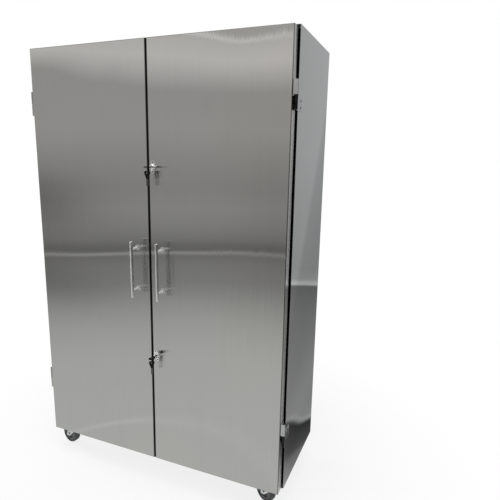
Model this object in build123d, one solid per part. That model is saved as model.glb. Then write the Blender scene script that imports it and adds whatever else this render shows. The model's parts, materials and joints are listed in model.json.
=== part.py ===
"""Two-door stainless steel desiccator cabinet on four swivel casters.

Millimetres, +Z up. The origin lies on the floor, under the centre of the cabinet's
bounding box. The doors face -Y, and +X is the right-hand side seen from the front.
The left wheels trail out past the body, so the middle plane of the body itself lies
a little to +X of the origin; pieces are drawn about that plane and moved when saved.
Every piece is written to parts/ as a STEP file of its own.
"""
import os
from math import cos, radians, sin, sqrt

from build123d import *

# ---- cabinet body ----
body_width = 1200.0
body_depth = 450.0
body_height = 1820.0
sheet = 1.2                    # stainless sheet of the shell, doors and shelves
bend_radius = 2.4              # outside radius of a folded corner
rear_flange = 20.0
frame_face = 35.0              # width of the seal face round the front opening
frame_depth = 10.0             # of its inner edge, turned back into the cabinet
fit_gap = 0.3                  # between pieces that lie side by side
snug_gap = 0.05                # round a pin, a blade or a core that is held fast

# ---- casters ----
caster_height = 125.0
wheel_radius = 50.0
wheel_width = 32.0
tyre_depth = 14.0
tyre_shoulder = 5.0
hub_rim_width = 26.0
hub_rim = 5.0
hub_web = 8.0
hub_boss_radius = 12.0
axle_radius = 5.0
axle_head_radius = 8.5
axle_head = 5.5
axle_clearance = 0.05
trail = 45.0                   # from the swivel axis back to the wheel axle
fork_sheet = 2.5
fork_bend_radius = 5.0
fork_side_gap = 1.5            # between the tyre and each leg
fork_leg_radius = 13.0
fork_crown_length = 48.0
fork_crown_drop = 12.0         # depth of the crown's side walls
fork_top = 112.0               # height of the crown above the floor
race_radius = 19.0
race_height = 3.5
race_gap = 0.3
kingpin_radius = 6.0
kingpin_clearance = 0.06
kingpin_head_radius = 10.0
kingpin_head = 3.0
plate_length = 92.0
plate_width = 66.0
plate_thickness = 3.0
plate_corner = 6.0
plate_hole_pitch_x = 73.0
plate_hole_pitch_y = 46.0
backing_plate = 3.0
caster_bolt_radius = 4.0
caster_bolt_head_radius = 7.0
caster_bolt_head = 5.0
caster_nut = 6.5
caster_inset_x = 55.0          # swivel axis in from the side of the body
caster_inset_front = 36.0
caster_inset_rear = 42.0
left_caster_turn = -10.0       # how far the left casters have swung, degrees
right_caster_turn = -26.0

# ---- doors ----
door_thickness = 40.0
door_side_reveal = 6.0         # the door edge in from the side of the body
door_top_reveal = 11.0
door_bottom_reveal = 9.0
meeting_gap = 8.0
door_lip = 26.0                # folded lip round the back of a door
seal_gap = 16.0                # between the back of a door and the seal face
gasket_base_width = 14.0
gasket_base = 2.0
gasket_bulb_radius = 6.6
gasket_wall = 2.0
gasket_inset = 11.0            # centre line of the gasket in from the door edge
meeting_seal_width = 6.5
meeting_seal_depth = 32.0
meeting_seal_wall = 1.5
meeting_seal_corner = 2.0

# ---- hinges ----
hinge_length = 100.0
hinge_gap = 0.6                # between the two knuckles of a hinge
hinge_leaf = 2.0
hinge_knuckle_radius = 7.0
hinge_pin_radius = 3.0
hinge_pin_clearance = 0.06
hinge_collar_radius = 6.0
hinge_pin_tip = 4.0            # the pin stops this far below the upper knuckle's top
hinge_axis_out = 5.0           # outboard of the side of the body
hinge_axis_back = 12.0         # behind the front of the door
hinge_upper_height = 1573.0    # above the bottom of the door
hinge_lower_height = 268.0
door_leaf_length = 33.0
body_leaf_reach = 44.0         # of the body leaf along the side panel

# ---- bar handles ----
handle_offset = 61.0           # from the middle of the cabinet
handle_height = 890.0          # above the bottom of the door
handle_length = 240.0
handle_centres = 176.0
handle_radius = 6.0
handle_end_round = 1.5
handle_standoff = 45.0
post_radius = 5.0
rose_radius = 12.0
rose_thickness = 3.0
stud_radius = 2.5
stud_length = 6.0              # behind the front of the door

# ---- cam locks ----
lock_offset = 23.0             # from the middle of the cabinet
lock_upper_height = 1313.0     # above the bottom of the door
lock_lower_height = 507.0
lower_escutcheon_turn = 15.0   # the lower escutcheon sits a little askew, degrees
escutcheon_thickness = 3.0
escutcheon_radius = 13.0
escutcheon_end_radius = 6.0
escutcheon_screw_offset = 19.0
escutcheon_screw_radius = 1.8
lock_body_radius = 8.0
lock_head_radius = 10.5
lock_head = 9.0
lock_head_bevel = 1.0
lock_tail = 2.0                # of the housing behind the door
plug_radius = 6.0
plug_clearance = 0.06
lock_nut_radius = 13.0
lock_nut = 4.0
keyway_width = 8.6
keyway_height = 2.5
keyway_depth = 28.0
cam_thickness = 2.5
cam_width = 16.0
cam_length = 38.0
cam_tip_radius = 4.0
cam_gap = 1.2                  # of the cam and plug behind the housing
cam_tail_width = 6.0
cam_nut_radius = 6.5
cam_nut = 4.0
strike_thickness = 2.0
strike_width = 30.0
strike_height = 60.0
strike_corner = 4.0
strike_inset = 1.5             # from the meeting edge of the left door

# ---- keys ----
key_blade_width = 8.0
key_blade = 2.0
key_reach = 18.0               # from the front of the door to the key's head
key_blade_inside = 14.0        # of the blade behind the front of the door
spare_blade_length = 28.0
key_head_length = 32.0
key_head_width = 24.0
key_head = 4.5
key_head_corner = 6.0
key_neck_radius = 5.0
key_tang = 8.0                 # of the blade inside the head
key_hole_radius = 3.4
key_hole_place = 24.0          # from the neck end of the head
ring_radius = 13.0
ring_wire_radius = 0.8
ring_turn = 30.0               # of the ring away from the line of the key, degrees
ring_half_chord = 6.35         # of the ring's inside at the top of the key's head
ring_play = 0.5
ring_hole_offset = 9.4         # from the middle of the ring to the middle of the hole

# ---- slide bolts on the left door ----
bolt_offset = 28.0             # from the middle of the cabinet
bolt_radius = 4.0
bolt_clearance = 0.15
bolt_length = 110.0
bolt_travel = 18.0
bolt_rest_gap = 4.0            # to the frame when drawn back
bolt_frame_clearance = 1.0     # behind the turned-in edge that it locks against
bolt_end_round = 1.0
bracket_width = 30.0
bracket_height = 84.0
bracket_plate = 2.0
bracket_lug = 8.0
bracket_lug_radius = 8.0
bracket_from_end = 14.0        # of the bolt's shoot beyond the first lug
bolt_knob_radius = 3.0
bolt_knob_length = 20.0

# ---- shelves ----
shelf_count = 4
shelf_pitch = 340.0
lowest_shelf = 330.0           # top of the lowest shelf above the base of the body
shelf_lip = 25.0
shelf_side_gap = 3.0           # to the uprights
shelf_front_gap = 29.0         # behind the front frame
shelf_rear_gap = 10.0
slot_length = 90.0
slot_width = 12.0
slot_columns = 9
slot_rows = 3
slot_margin = 60.0
upright_width = 20.0
upright_depth = 12.0
upright_sheet = 1.5
upright_inset = 70.0           # from the front and back of a shelf
upright_end_gap = 20.0
upright_slot_pitch = 85.0
upright_slot_width = 4.0
upright_slot_height = 14.0
clip_reach = 14.0
clip_width = 14.0
clip_height = 18.0
clip_hook_width = 3.4
clip_hook_height = 8.0

# ---- desiccant tray ----
tray_length = 900.0
tray_depth = 300.0
tray_height = 70.0
tray_rim = 12.0
gel_level = 48.0
gel_gap = 0.3
cover_lip = 8.0
cover_slot_length = 68.0

# ---- places worked out from the sizes above ----
handle_reach = handle_standoff + handle_radius
front_reach = max(handle_reach, key_reach + key_head_length)
overall_depth = front_reach + door_thickness + seal_gap + body_depth
door_front = front_reach - overall_depth / 2
door_back = door_front + door_thickness
body_front = door_back + seal_gap
body_back = body_front + body_depth
body_side = body_width / 2
body_base = caster_height
body_top = body_base + body_height
door_edge = body_side - door_side_reveal
door_meeting = meeting_gap / 2
door_base = body_base + door_bottom_reveal
door_top = body_top - door_top_reveal
opening_side = body_side - sheet - frame_face
opening_base = body_base + sheet + frame_face
opening_top = body_top - sheet - frame_face
hinge_x = body_side + hinge_axis_out
hinge_y = door_front + hinge_axis_back
hinge_heights = (door_base + hinge_lower_height, door_base + hinge_upper_height)
bolt_y = body_front + frame_depth + bolt_frame_clearance + bolt_radius
upright_face = body_side - sheet - upright_depth
shelf_half_width = upright_face - shelf_side_gap
shelf_front = body_front + frame_depth + shelf_front_gap
shelf_back = body_back - 2 * sheet - shelf_rear_gap
shelf_tops = [body_base + lowest_shelf + shelf_pitch * step for step in range(shelf_count)]
upright_places = (shelf_front + upright_inset, shelf_back - upright_inset)
caster_x = body_side - caster_inset_x
caster_places = {
    "front_left": (-caster_x, body_front + caster_inset_front, left_caster_turn),
    "front_right": (caster_x, body_front + caster_inset_front, right_caster_turn),
    "rear_left": (-caster_x, body_back - caster_inset_rear, left_caster_turn),
    "rear_right": (caster_x, body_back - caster_inset_rear, right_caster_turn),
}
wheel_reach = (trail + wheel_radius) * cos(radians(left_caster_turn))
tread_reach = (wheel_width / 2 - tyre_shoulder) * abs(sin(radians(left_caster_turn)))
left_reach = caster_x + wheel_reach + tread_reach
right_reach = hinge_x + hinge_knuckle_radius
cabinet_middle = (left_reach - right_reach) / 2
lock_places = {
    "upper": door_base + lock_upper_height,
    "lower": door_base + lock_lower_height,
}


# ---- shared shapes ----
def block(x_range, y_range, z_range):
    """Solid that fills the space between three pairs of planes."""
    spans = [high - low for low, high in (x_range, y_range, z_range)]
    middles = [(low + high) / 2 for low, high in (x_range, y_range, z_range)]
    return Pos(*middles) * Box(*spans)


def rod_x(radius, x_range, y, z):
    """Round bar along X."""
    length = x_range[1] - x_range[0]
    return Pos(sum(x_range) / 2, y, z) * Rot(0, 90, 0) * Cylinder(radius, length)


def rod_y(radius, y_range, x=0.0, z=0.0):
    """Round bar along Y."""
    length = y_range[1] - y_range[0]
    return Pos(x, sum(y_range) / 2, z) * Rot(90, 0, 0) * Cylinder(radius, length)


def rod_z(radius, z_range, x=0.0, y=0.0):
    """Round bar along Z."""
    return Pos(x, y, sum(z_range) / 2) * Cylinder(radius, z_range[1] - z_range[0])


def hexagon_y(radius, y_range, x=0.0, z=0.0):
    """Hexagonal bar along Y, radius measured to its corners."""
    outline = Pos(x, 0, z) * (Plane.XZ * RegularPolygon(radius, 6))
    return Pos(0, y_range[1], 0) * extrude(outline, y_range[1] - y_range[0])


def hexagon_z(radius, z_range, x=0.0, y=0.0):
    """Hexagonal bar along Z, radius measured to its corners."""
    return Pos(x, y, z_range[0]) * extrude(RegularPolygon(radius, 6), z_range[1] - z_range[0])


def hull(*outlines):
    """Flat convex outline drawn tight round the given ones."""
    return make_hull([edge for outline in outlines for edge in outline.edges()])


def folded(points, thickness, radius):
    """Section of a folded sheet: the points are its outer face, the sheet lies to the left."""
    outer = FilletPolyline(*points, radius=radius)
    return make_face(offset(outer, amount=thickness, side=Side.LEFT, closed=True))


def mirrored(shape):
    """The same piece for the other side of the cabinet."""
    return mirror(shape, about=Plane.YZ)


def both_sides(shape):
    """The piece and its mirror image."""
    return [shape, mirrored(shape)]


def save(name, *shapes):
    """Write one node, moved to the shared origin: one solid, or several separate ones."""
    solids = [Pos(cabinet_middle, 0, 0) * solid for shape in shapes for solid in shape.solids()]
    piece = solids[0] if len(solids) == 1 else Compound(children=solids)
    export_step(piece, f"parts/{name}.step")


# ---- cabinet shell ----
def side_panel():
    """Right side sheet with its rear edge folded in behind the back panel."""
    section = folded(
        [
            (body_side, body_front),
            (body_side, body_back),
            (body_side - rear_flange, body_back),
        ],
        sheet,
        bend_radius,
    )
    return Pos(0, 0, body_base) * extrude(section, body_height)


def cap_panel():
    """Top sheet between the side panels, its rear edge turned down and notched."""
    inner_side = body_side - sheet
    section = folded(
        [(body_front, 0), (body_back, 0), (body_back, -rear_flange)][::-1],
        sheet,
        bend_radius,
    )
    profile = Plane(origin=(-inner_side, 0, 0), x_dir=(0, 1, 0), z_dir=(1, 0, 0)) * section
    panel = extrude(profile, 2 * inner_side)
    notch_z = (-rear_flange, sheet)
    flange_x = (body_side - rear_flange, body_side)
    corner_x = (body_side - bend_radius, body_side)
    panel -= both_sides(block(flange_x, (body_back - sheet, body_back), notch_z))
    panel -= both_sides(block(corner_x, (body_back - bend_radius, body_back), notch_z))
    return panel


def back_panel():
    """Flat rear sheet that lies against the rear flanges, clear of their bends."""
    half_width = body_side - bend_radius
    return block(
        (-half_width, half_width),
        (body_back - 2 * sheet, body_back - sheet),
        (body_base + bend_radius, body_top - bend_radius),
    )


def front_frame():
    """Frame round the opening: a flat seal face with its inner edge turned back."""
    outer_side = body_side - sheet
    outer = (body_base + sheet, body_top - sheet)
    y_range = (body_front, body_front + frame_depth)
    frame = block((-outer_side, outer_side), y_range, outer)
    frame -= block((-opening_side, opening_side), y_range, (opening_base, opening_top))
    pocket_y = (body_front + sheet, body_front + frame_depth)
    pocket = block((-outer_side, outer_side), pocket_y, outer)
    pocket -= block(
        (-opening_side - sheet, opening_side + sheet),
        pocket_y,
        (opening_base - sheet, opening_top + sheet),
    )
    return frame - pocket


# ---- shelves and desiccant ----
def shelf(top):
    """Slotted shelf with its four edges turned down."""
    x_range = (-shelf_half_width, shelf_half_width)
    pan = block(x_range, (shelf_front, shelf_back), (top - shelf_lip, top))
    upright_edges = pan.edges().filter_by(Axis.Z)
    pan = fillet(upright_edges, bend_radius)
    pan -= block(
        (x_range[0] + sheet, x_range[1] - sheet),
        (shelf_front + sheet, shelf_back - sheet),
        (top - shelf_lip, top - sheet),
    )
    span_x = 2 * shelf_half_width - 2 * slot_margin - slot_length
    span_y = shelf_back - shelf_front - 2 * slot_margin - slot_width
    middle = Pos(0, (shelf_front + shelf_back) / 2, top - sheet / 2)
    cutter = Box(slot_length, slot_width, 2 * sheet)
    grid = GridLocations(
        span_x / (slot_columns - 1), span_y / (slot_rows - 1), slot_columns, slot_rows
    )
    return pan - [middle * place * cutter for place in grid]


def upright_slot_heights():
    """Heights of the slots up an upright, counted from the lowest shelf's clips."""
    first = shelf_tops[0] - shelf_lip - clip_height / 2
    low = body_base + upright_end_gap + upright_slot_height
    high = body_top - upright_end_gap - upright_slot_height
    steps_down = int((first - low) // upright_slot_pitch)
    steps_up = int((high - first) // upright_slot_pitch)
    return [first + upright_slot_pitch * step for step in range(-steps_down, steps_up + 1)]


def upright(y):
    """Slotted channel on the right-hand wall that carries the shelf clips."""
    wall = body_side - sheet
    half = upright_width / 2
    section = folded(
        [(wall, y - half), (upright_face, y - half), (upright_face, y + half), (wall, y + half)][::-1],
        upright_sheet,
        bend_radius,
    )
    height = body_height - 2 * upright_end_gap
    channel = Pos(0, 0, body_base + upright_end_gap) * extrude(section, height)
    cutter = Box(4 * upright_sheet, upright_slot_width, upright_slot_height)
    heights = upright_slot_heights()
    for shelf_top in shelf_tops:
        heights = [z for z in heights if abs(z - clip_middle(shelf_top)) > upright_slot_height]
        heights.append(clip_middle(shelf_top))
    return channel - [Pos(upright_face, y, z) * cutter for z in heights]


def clip_middle(shelf_top):
    """Height of the middle of a clip's back under the shelf it carries."""
    return shelf_top - shelf_lip - clip_height / 2


def shelf_clip(y, shelf_top):
    """Folded clip: its tongue carries the shelf's lip, its hook sits in the upright."""
    seat = shelf_top - shelf_lip
    tip = upright_face - clip_reach
    section = folded(
        [(tip, seat), (upright_face, seat), (upright_face, seat - clip_height)][::-1],
        -upright_sheet,
        bend_radius,
    )
    profile = Plane(origin=(0, y + clip_width / 2, 0), x_dir=(1, 0, 0), z_dir=(0, -1, 0)) * section
    clip = extrude(profile, clip_width)
    hook_z = clip_middle(shelf_top)
    clip += block(
        (upright_face, upright_face + 2 * upright_sheet),
        (y - clip_hook_width / 2, y + clip_hook_width / 2),
        (hook_z - clip_hook_height / 2, hook_z + clip_hook_height / 2),
    )
    return clip


def tray_middle():
    """Middle of the tray in Y, half-way along the shelves."""
    return (shelf_front + shelf_back) / 2


def desiccant_tray():
    """Open pan on the base sheet with a flat rim for its slotted cover."""
    floor = body_base + sheet
    y = tray_middle()
    half_x = tray_length / 2
    half_y = tray_depth / 2
    pan = block((-half_x, half_x), (y - half_y, y + half_y), (floor, floor + tray_height))
    pan = fillet(pan.edges().filter_by(Axis.Z), bend_radius)
    rim_z = (floor + tray_height - sheet, floor + tray_height)
    pan += block(
        (-half_x - tray_rim, half_x + tray_rim), (y - half_y - tray_rim, y + half_y + tray_rim), rim_z
    )
    return pan - block(
        (-half_x + sheet, half_x - sheet),
        (y - half_y + sheet, y + half_y - sheet),
        (floor + sheet, floor + tray_height),
    )


def silica_gel():
    """Bed of beads that fills the tray to its level."""
    floor = body_base + 2 * sheet
    y = tray_middle()
    half_x = tray_length / 2 - sheet - gel_gap
    half_y = tray_depth / 2 - sheet - gel_gap
    return block((-half_x, half_x), (y - half_y, y + half_y), (floor, floor + gel_level))


def tray_cover():
    """Slotted lid that lies on the tray's rim, its front and rear edges turned down."""
    seat = body_base + sheet + tray_height
    y = tray_middle()
    half_x = tray_length / 2 + tray_rim
    half_y = tray_depth / 2 + tray_rim + bend_radius
    section = folded(
        [
            (y - half_y, seat - cover_lip),
            (y - half_y, seat + sheet),
            (y + half_y, seat + sheet),
            (y + half_y, seat - cover_lip),
        ][::-1],
        sheet,
        bend_radius,
    )
    profile = Plane(origin=(-half_x, 0, 0), x_dir=(0, 1, 0), z_dir=(1, 0, 0)) * section
    cover = extrude(profile, 2 * half_x)
    span_x = tray_length - 2 * slot_margin - cover_slot_length
    span_y = tray_depth - 2 * slot_margin - slot_width
    grid = GridLocations(
        span_x / (slot_columns - 1), span_y / (slot_rows - 1), slot_columns, slot_rows
    )
    cutter = Box(cover_slot_length, slot_width, 4 * sheet)
    return cover - [Pos(0, y, seat) * place * cutter for place in grid]


# ---- doors ----
def door_pan():
    """Right door skin: a folded pan with a lip round its open back."""
    z_range = (door_base, door_top)
    skin = block((door_meeting, door_edge), (door_front, door_back), z_range)
    front_edges = skin.faces().sort_by(Axis.Y)[0].edges()
    skin = fillet(front_edges, bend_radius)
    skin -= block(
        (door_meeting + sheet, door_edge - sheet),
        (door_front + sheet, door_back - sheet),
        (z_range[0] + sheet, z_range[1] - sheet),
    )
    skin -= block(
        (door_meeting + door_lip, door_edge - door_lip),
        (door_back - sheet, door_back),
        (z_range[0] + door_lip, z_range[1] - door_lip),
    )
    for stud_z in post_heights():
        stud_y = (door_front, door_front + sheet)
        skin -= rod_y(stud_radius + snug_gap, stud_y, handle_offset, stud_z)
    return skin


def door_liner():
    """Flat inner sheet behind the lips of the right door."""
    side_gap = sheet + fit_gap
    return block(
        (door_meeting + side_gap, door_edge - side_gap),
        (door_back - 2 * sheet, door_back - sheet),
        (door_base + side_gap, door_top - side_gap),
    )


def lock_holes():
    """Holes through the right door for the two lock housings."""
    radius = lock_body_radius + snug_gap
    return [rod_y(radius, (door_front, door_back), lock_offset, z) for z in lock_places.values()]


def gasket_section():
    """Flat base with a hollow bulb; the base lies on the door, the bulb faces the frame."""
    bulb_centre = seal_gap - fit_gap - gasket_bulb_radius
    base = Pos(0, gasket_base / 2) * Rectangle(gasket_base_width, gasket_base)
    neck = Pos(0, bulb_centre / 2) * Rectangle(gasket_bulb_radius, bulb_centre)
    bulb = Pos(0, bulb_centre) * Circle(gasket_bulb_radius)
    hollow = Pos(0, bulb_centre) * Circle(gasket_bulb_radius - gasket_wall)
    return base + neck + bulb - hollow


def door_gasket():
    """Bulb seal along the top, hinge edge and bottom of the right door."""
    inner = door_meeting + fit_gap
    outer = door_edge - gasket_inset
    low = door_base + gasket_inset
    high = door_top - gasket_inset
    y = door_back
    route = Polyline((inner, y, high), (outer, y, high), (outer, y, low), (inner, y, low))
    start = Plane(origin=(inner, y, high), x_dir=(0, 0, -1), z_dir=(1, 0, 0))
    return sweep(start * gasket_section(), path=route, transition=Transition.RIGHT)


def meeting_seal():
    """Rubber strip down the meeting edge of the left door, with a hollow chamber."""
    middle_x = -door_meeting + meeting_seal_width / 2
    middle_y = (door_front + door_back) / 2
    outline = RectangleRounded(meeting_seal_width, meeting_seal_depth, meeting_seal_corner)
    chamber = Rectangle(
        meeting_seal_width - 2 * meeting_seal_wall, meeting_seal_depth - 4 * meeting_seal_wall
    )
    strip = extrude(Pos(middle_x, middle_y) * (outline - chamber), door_top - door_base)
    return Pos(0, 0, door_base) * strip


# ---- lift-off hinges ----
def knuckle_z(height, upper):
    """Height range of one knuckle of the hinge centred at the given height."""
    if upper:
        return (height + hinge_gap / 2, height + hinge_length / 2)
    return (height - hinge_length / 2, height - hinge_gap / 2)


def door_hinge_leaf(height):
    """Upper knuckle: the leaf on the edge of the right door wraps round the pin."""
    z_range = knuckle_z(height, True)
    front = hinge_y - hinge_knuckle_radius
    leaf = folded(
        [(door_edge, front + door_leaf_length), (door_edge, front), (hinge_x, front)],
        hinge_leaf,
        hinge_leaf,
    )
    section = leaf + Pos(hinge_x, hinge_y) * Circle(hinge_knuckle_radius)
    section -= Pos(hinge_x, hinge_y) * Circle(hinge_pin_radius + hinge_pin_clearance)
    return Pos(0, 0, z_range[0]) * extrude(section, z_range[1] - z_range[0])


def body_hinge_leaf(height):
    """Lower knuckle: its leaf crosses the seal gap and lies on the side of the body."""
    z_range = knuckle_z(height, False)
    leaf_start = hinge_y + hinge_pin_radius
    leaf_end = body_front + body_leaf_reach
    leaf = Pos(body_side + hinge_leaf / 2, (leaf_start + leaf_end) / 2) * Rectangle(
        hinge_leaf, leaf_end - leaf_start
    )
    section = leaf + Pos(hinge_x, hinge_y) * Circle(hinge_knuckle_radius)
    section -= Pos(hinge_x, hinge_y) * Circle(hinge_pin_radius + snug_gap)
    return Pos(0, 0, z_range[0]) * extrude(section, z_range[1] - z_range[0])


def hinge_pin(height):
    """Pin held in the lower knuckle, with a collar that carries the upper one."""
    low = knuckle_z(height, False)[0]
    high = knuckle_z(height, True)[1] - hinge_pin_tip
    pin = rod_z(hinge_pin_radius, (low, high), hinge_x, hinge_y)
    collar_z = (height - hinge_gap / 2 + snug_gap, height + hinge_gap / 2 - snug_gap)
    return pin + rod_z(hinge_collar_radius, collar_z, hinge_x, hinge_y)


# ---- handles ----
def post_heights():
    """Heights of the two posts of a handle."""
    middle = door_base + handle_height
    return (middle - handle_centres / 2, middle + handle_centres / 2)


def handle_bar():
    """Round bar of the right handle with rounded ends and a seat for each post."""
    middle = door_base + handle_height
    y = door_front - handle_standoff
    z_range = (middle - handle_length / 2, middle + handle_length / 2)
    bar = rod_z(handle_radius, z_range, handle_offset, y)
    bar = fillet(bar.edges().filter_by(GeomType.CIRCLE), handle_end_round)
    seat = handle_radius / 2
    for z in post_heights():
        bar -= rod_y(post_radius + snug_gap, (y + seat, y + handle_radius), handle_offset, z)
    return bar


def handle_post(z):
    """Turned post: its end sits in the bar, its rose on the door, its stud goes through."""
    bar_y = door_front - handle_standoff
    seat = bar_y + handle_radius / 2 + snug_gap
    post = rod_y(post_radius, (seat, door_front - rose_thickness), handle_offset, z)
    post += rod_y(rose_radius, (door_front - rose_thickness, door_front), handle_offset, z)
    stud_y = (door_front, door_front + stud_length)
    return post + rod_y(stud_radius, stud_y, handle_offset, z)


# ---- cam locks ----
def escutcheon(z, turn):
    """Cover plate round a lock: a round middle that narrows to a screw at each end."""
    outline = hull(
        Circle(escutcheon_radius),
        Pos(0, escutcheon_screw_offset) * Circle(escutcheon_end_radius),
        Pos(0, -escutcheon_screw_offset) * Circle(escutcheon_end_radius),
    )
    outline -= Circle(lock_body_radius + snug_gap)
    for side in (-1, 1):
        outline -= Pos(0, side * escutcheon_screw_offset) * Circle(escutcheon_screw_radius)
    plate = extrude(Plane.XZ * (Rot(0, 0, turn) * outline), escutcheon_thickness)
    return Pos(lock_offset, door_front, z) * plate


def lock_housing(z):
    """Flanged barrel through the door, bored for the plug."""
    seat = door_front - escutcheon_thickness
    face = seat - lock_head
    tail = door_back + lock_tail
    barrel = rod_y(lock_body_radius, (seat, tail), lock_offset, z)
    head = rod_y(lock_head_radius, (face, seat), lock_offset, z)
    head = chamfer(head.edges().filter_by(GeomType.CIRCLE).sort_by(Axis.Y)[0], lock_head_bevel)
    bore = rod_y(plug_radius + plug_clearance, (face, tail), lock_offset, z)
    return barrel + head - bore


def lock_nut_on(z):
    """Hexagonal nut that clamps the housing against the inside of the door skin."""
    y_range = (door_front + sheet, door_front + sheet + lock_nut)
    nut = hexagon_y(lock_nut_radius, y_range, lock_offset, z)
    return nut - rod_y(lock_body_radius + snug_gap, y_range, lock_offset, z)


def lock_cylinder(z):
    """Keyed plug, the cam on its square tail and the cam's nut."""
    face = door_front - escutcheon_thickness - lock_head
    shoulder = door_back + lock_tail + cam_gap
    cam_back = shoulder + cam_thickness
    plug = rod_y(plug_radius, (face, shoulder), lock_offset, z)
    half_width = keyway_width / 2
    half_height = keyway_height / 2
    plug -= block(
        (lock_offset - half_width, lock_offset + half_width),
        (face, face + keyway_depth),
        (z - half_height, z + half_height),
    )
    half_tail = cam_tail_width / 2
    tail_x = (lock_offset - half_tail, lock_offset + half_tail)
    tail_z = (z - half_tail, z + half_tail)
    plug += block(tail_x, (shoulder, cam_back + cam_nut), tail_z)
    outline = hull(
        Circle(cam_width / 2),
        Pos(0, cam_length - cam_tip_radius) * Circle(cam_tip_radius),
    )
    cam = Pos(lock_offset, cam_back, z) * extrude(Plane.XZ * outline, cam_thickness)
    cam -= block(tail_x, (shoulder, cam_back), tail_z)
    nut = hexagon_y(cam_nut_radius, (cam_back, cam_back + cam_nut), lock_offset, z)
    nut -= block(tail_x, (cam_back, cam_back + cam_nut), tail_z)
    return [plug, cam, nut]


def lock_strike(z):
    """Plate on the back of the left door that the cam turns behind."""
    x_range = (-door_meeting - strike_inset - strike_width, -door_meeting - strike_inset)
    outline = Pos(sum(x_range) / 2, 0) * RectangleRounded(strike_width, strike_height, strike_corner)
    return Pos(0, door_back + strike_thickness, z) * extrude(Plane.XZ * outline, strike_thickness)


# ---- keys ----
def key_head_outline():
    """Head of a key from its neck at y = 0 to its far end, with the ring hole."""
    corner_x = key_head_width / 2 - key_head_corner
    corner_y = key_head_length - key_head_corner
    outline = hull(
        Pos(0, key_neck_radius) * Circle(key_neck_radius),
        Pos(corner_x, corner_y) * Circle(key_head_corner),
        Pos(-corner_x, corner_y) * Circle(key_head_corner),
    )
    return outline - Pos(0, key_hole_place) * Circle(key_hole_radius)


def key_pair(blade_length):
    """Blade and head of a key laid flat in XY: the head points to +Y from the neck at 0."""
    half_head = key_head / 2
    half_blade = key_blade / 2
    tip = key_blade_width / 2
    blade_outline = hull(
        Pos(0, key_tang - tip) * Rectangle(key_blade_width, 2 * tip),
        Pos(0, tip - blade_length) * Circle(tip),
    )
    blade = Pos(0, 0, -half_blade) * extrude(blade_outline, key_blade)
    head = Pos(0, 0, -half_head) * extrude(key_head_outline(), key_head)
    return blade, head - blade


def ring_centre():
    """Middle of the key ring from the lock axis at the door front: x, outward and z."""
    inside = ring_radius - ring_wire_radius
    drop = sqrt(inside**2 - ring_half_chord**2)
    turn = radians(ring_turn)
    outward = key_reach + key_hole_place - ring_hole_offset * cos(turn)
    return (-ring_hole_offset * sin(turn), outward, key_head / 2 - drop)


def key_in_lock(z):
    """Key in the plug, its flat level, and the split ring through its head."""
    blade, head = key_pair(key_reach + key_blade_inside)
    place = Pos(lock_offset, door_front - key_reach, z) * Rot(0, 0, 180)
    x, outward, drop = ring_centre()
    ring = Rot(0, 90, 0) * Torus(ring_radius, ring_wire_radius)
    ring = Pos(lock_offset + x, door_front - outward, z + drop) * Rot(0, 0, ring_turn) * ring
    return place * blade, place * head, ring


def spare_key(z):
    """Spare key that hangs on the ring by the hole in its head."""
    blade, head = key_pair(spare_blade_length)
    x, outward, drop = ring_centre()
    wire_top = z + drop - ring_radius + ring_wire_radius
    hole_z = wire_top + ring_play - key_hole_radius
    place = Pos(lock_offset + x, door_front - outward, hole_z - key_hole_place)
    place = place * Rot(0, 0, ring_turn) * Rot(90, 0, 0)
    return place * blade, place * head


# ---- slide bolts ----
def bolt_end(upper):
    """Height of the shoot of a slide bolt drawn back from the frame's turned-in edge."""
    return opening_top - bolt_rest_gap if upper else opening_base + bolt_rest_gap


def bolt_bracket(upper):
    """Plate on the back of the left door with two lugs that guide the bolt."""
    inward = -1 if upper else 1
    start = bolt_end(upper) + inward * bracket_from_end
    stop = start + inward * bracket_height
    z_range = (min(start, stop), max(start, stop))
    half = bracket_width / 2
    x_range = (-bolt_offset - half, -bolt_offset + half)
    bracket = block(x_range, (door_back, door_back + bracket_plate), z_range)
    foot_y = door_back + bracket_plate / 2
    outline = hull(
        Pos(-bolt_offset, foot_y) * Rectangle(bracket_width, bracket_plate),
        Pos(-bolt_offset, bolt_y) * Circle(bracket_lug_radius),
    )
    outline -= Pos(-bolt_offset, bolt_y) * Circle(bolt_radius + bolt_clearance)
    lug = extrude(outline, bracket_lug)
    return bracket + Pos(0, 0, z_range[0]) * lug + Pos(0, 0, z_range[1] - bracket_lug) * lug


def slide_bolt(upper):
    """Round bolt with a rounded shoot and a cross knob between the lugs."""
    inward = -1 if upper else 1
    end = bolt_end(upper)
    tail = end + inward * bolt_length
    z_range = (min(end, tail), max(end, tail))
    bolt = rod_z(bolt_radius, z_range, -bolt_offset, bolt_y)
    bolt = fillet(bolt.edges().filter_by(GeomType.CIRCLE), bolt_end_round)
    knob_z = end + inward * (bracket_from_end + (bracket_height + bolt_travel) / 2)
    knob_x = (-bolt_offset - bolt_knob_length, -bolt_offset)
    return bolt + rod_x(bolt_knob_radius, knob_x, bolt_y, knob_z)


# ---- casters ----
def caster_place(name):
    """Location of a caster: its swivel axis is the local Z, its trail runs to local -X."""
    x, y, turn = caster_places[name]
    return Pos(x, y, 0) * Rot(0, 0, turn)


def fork_half_width():
    """From the middle of the wheel to the outer face of a leg."""
    return wheel_width / 2 + fork_side_gap + fork_sheet


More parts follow.
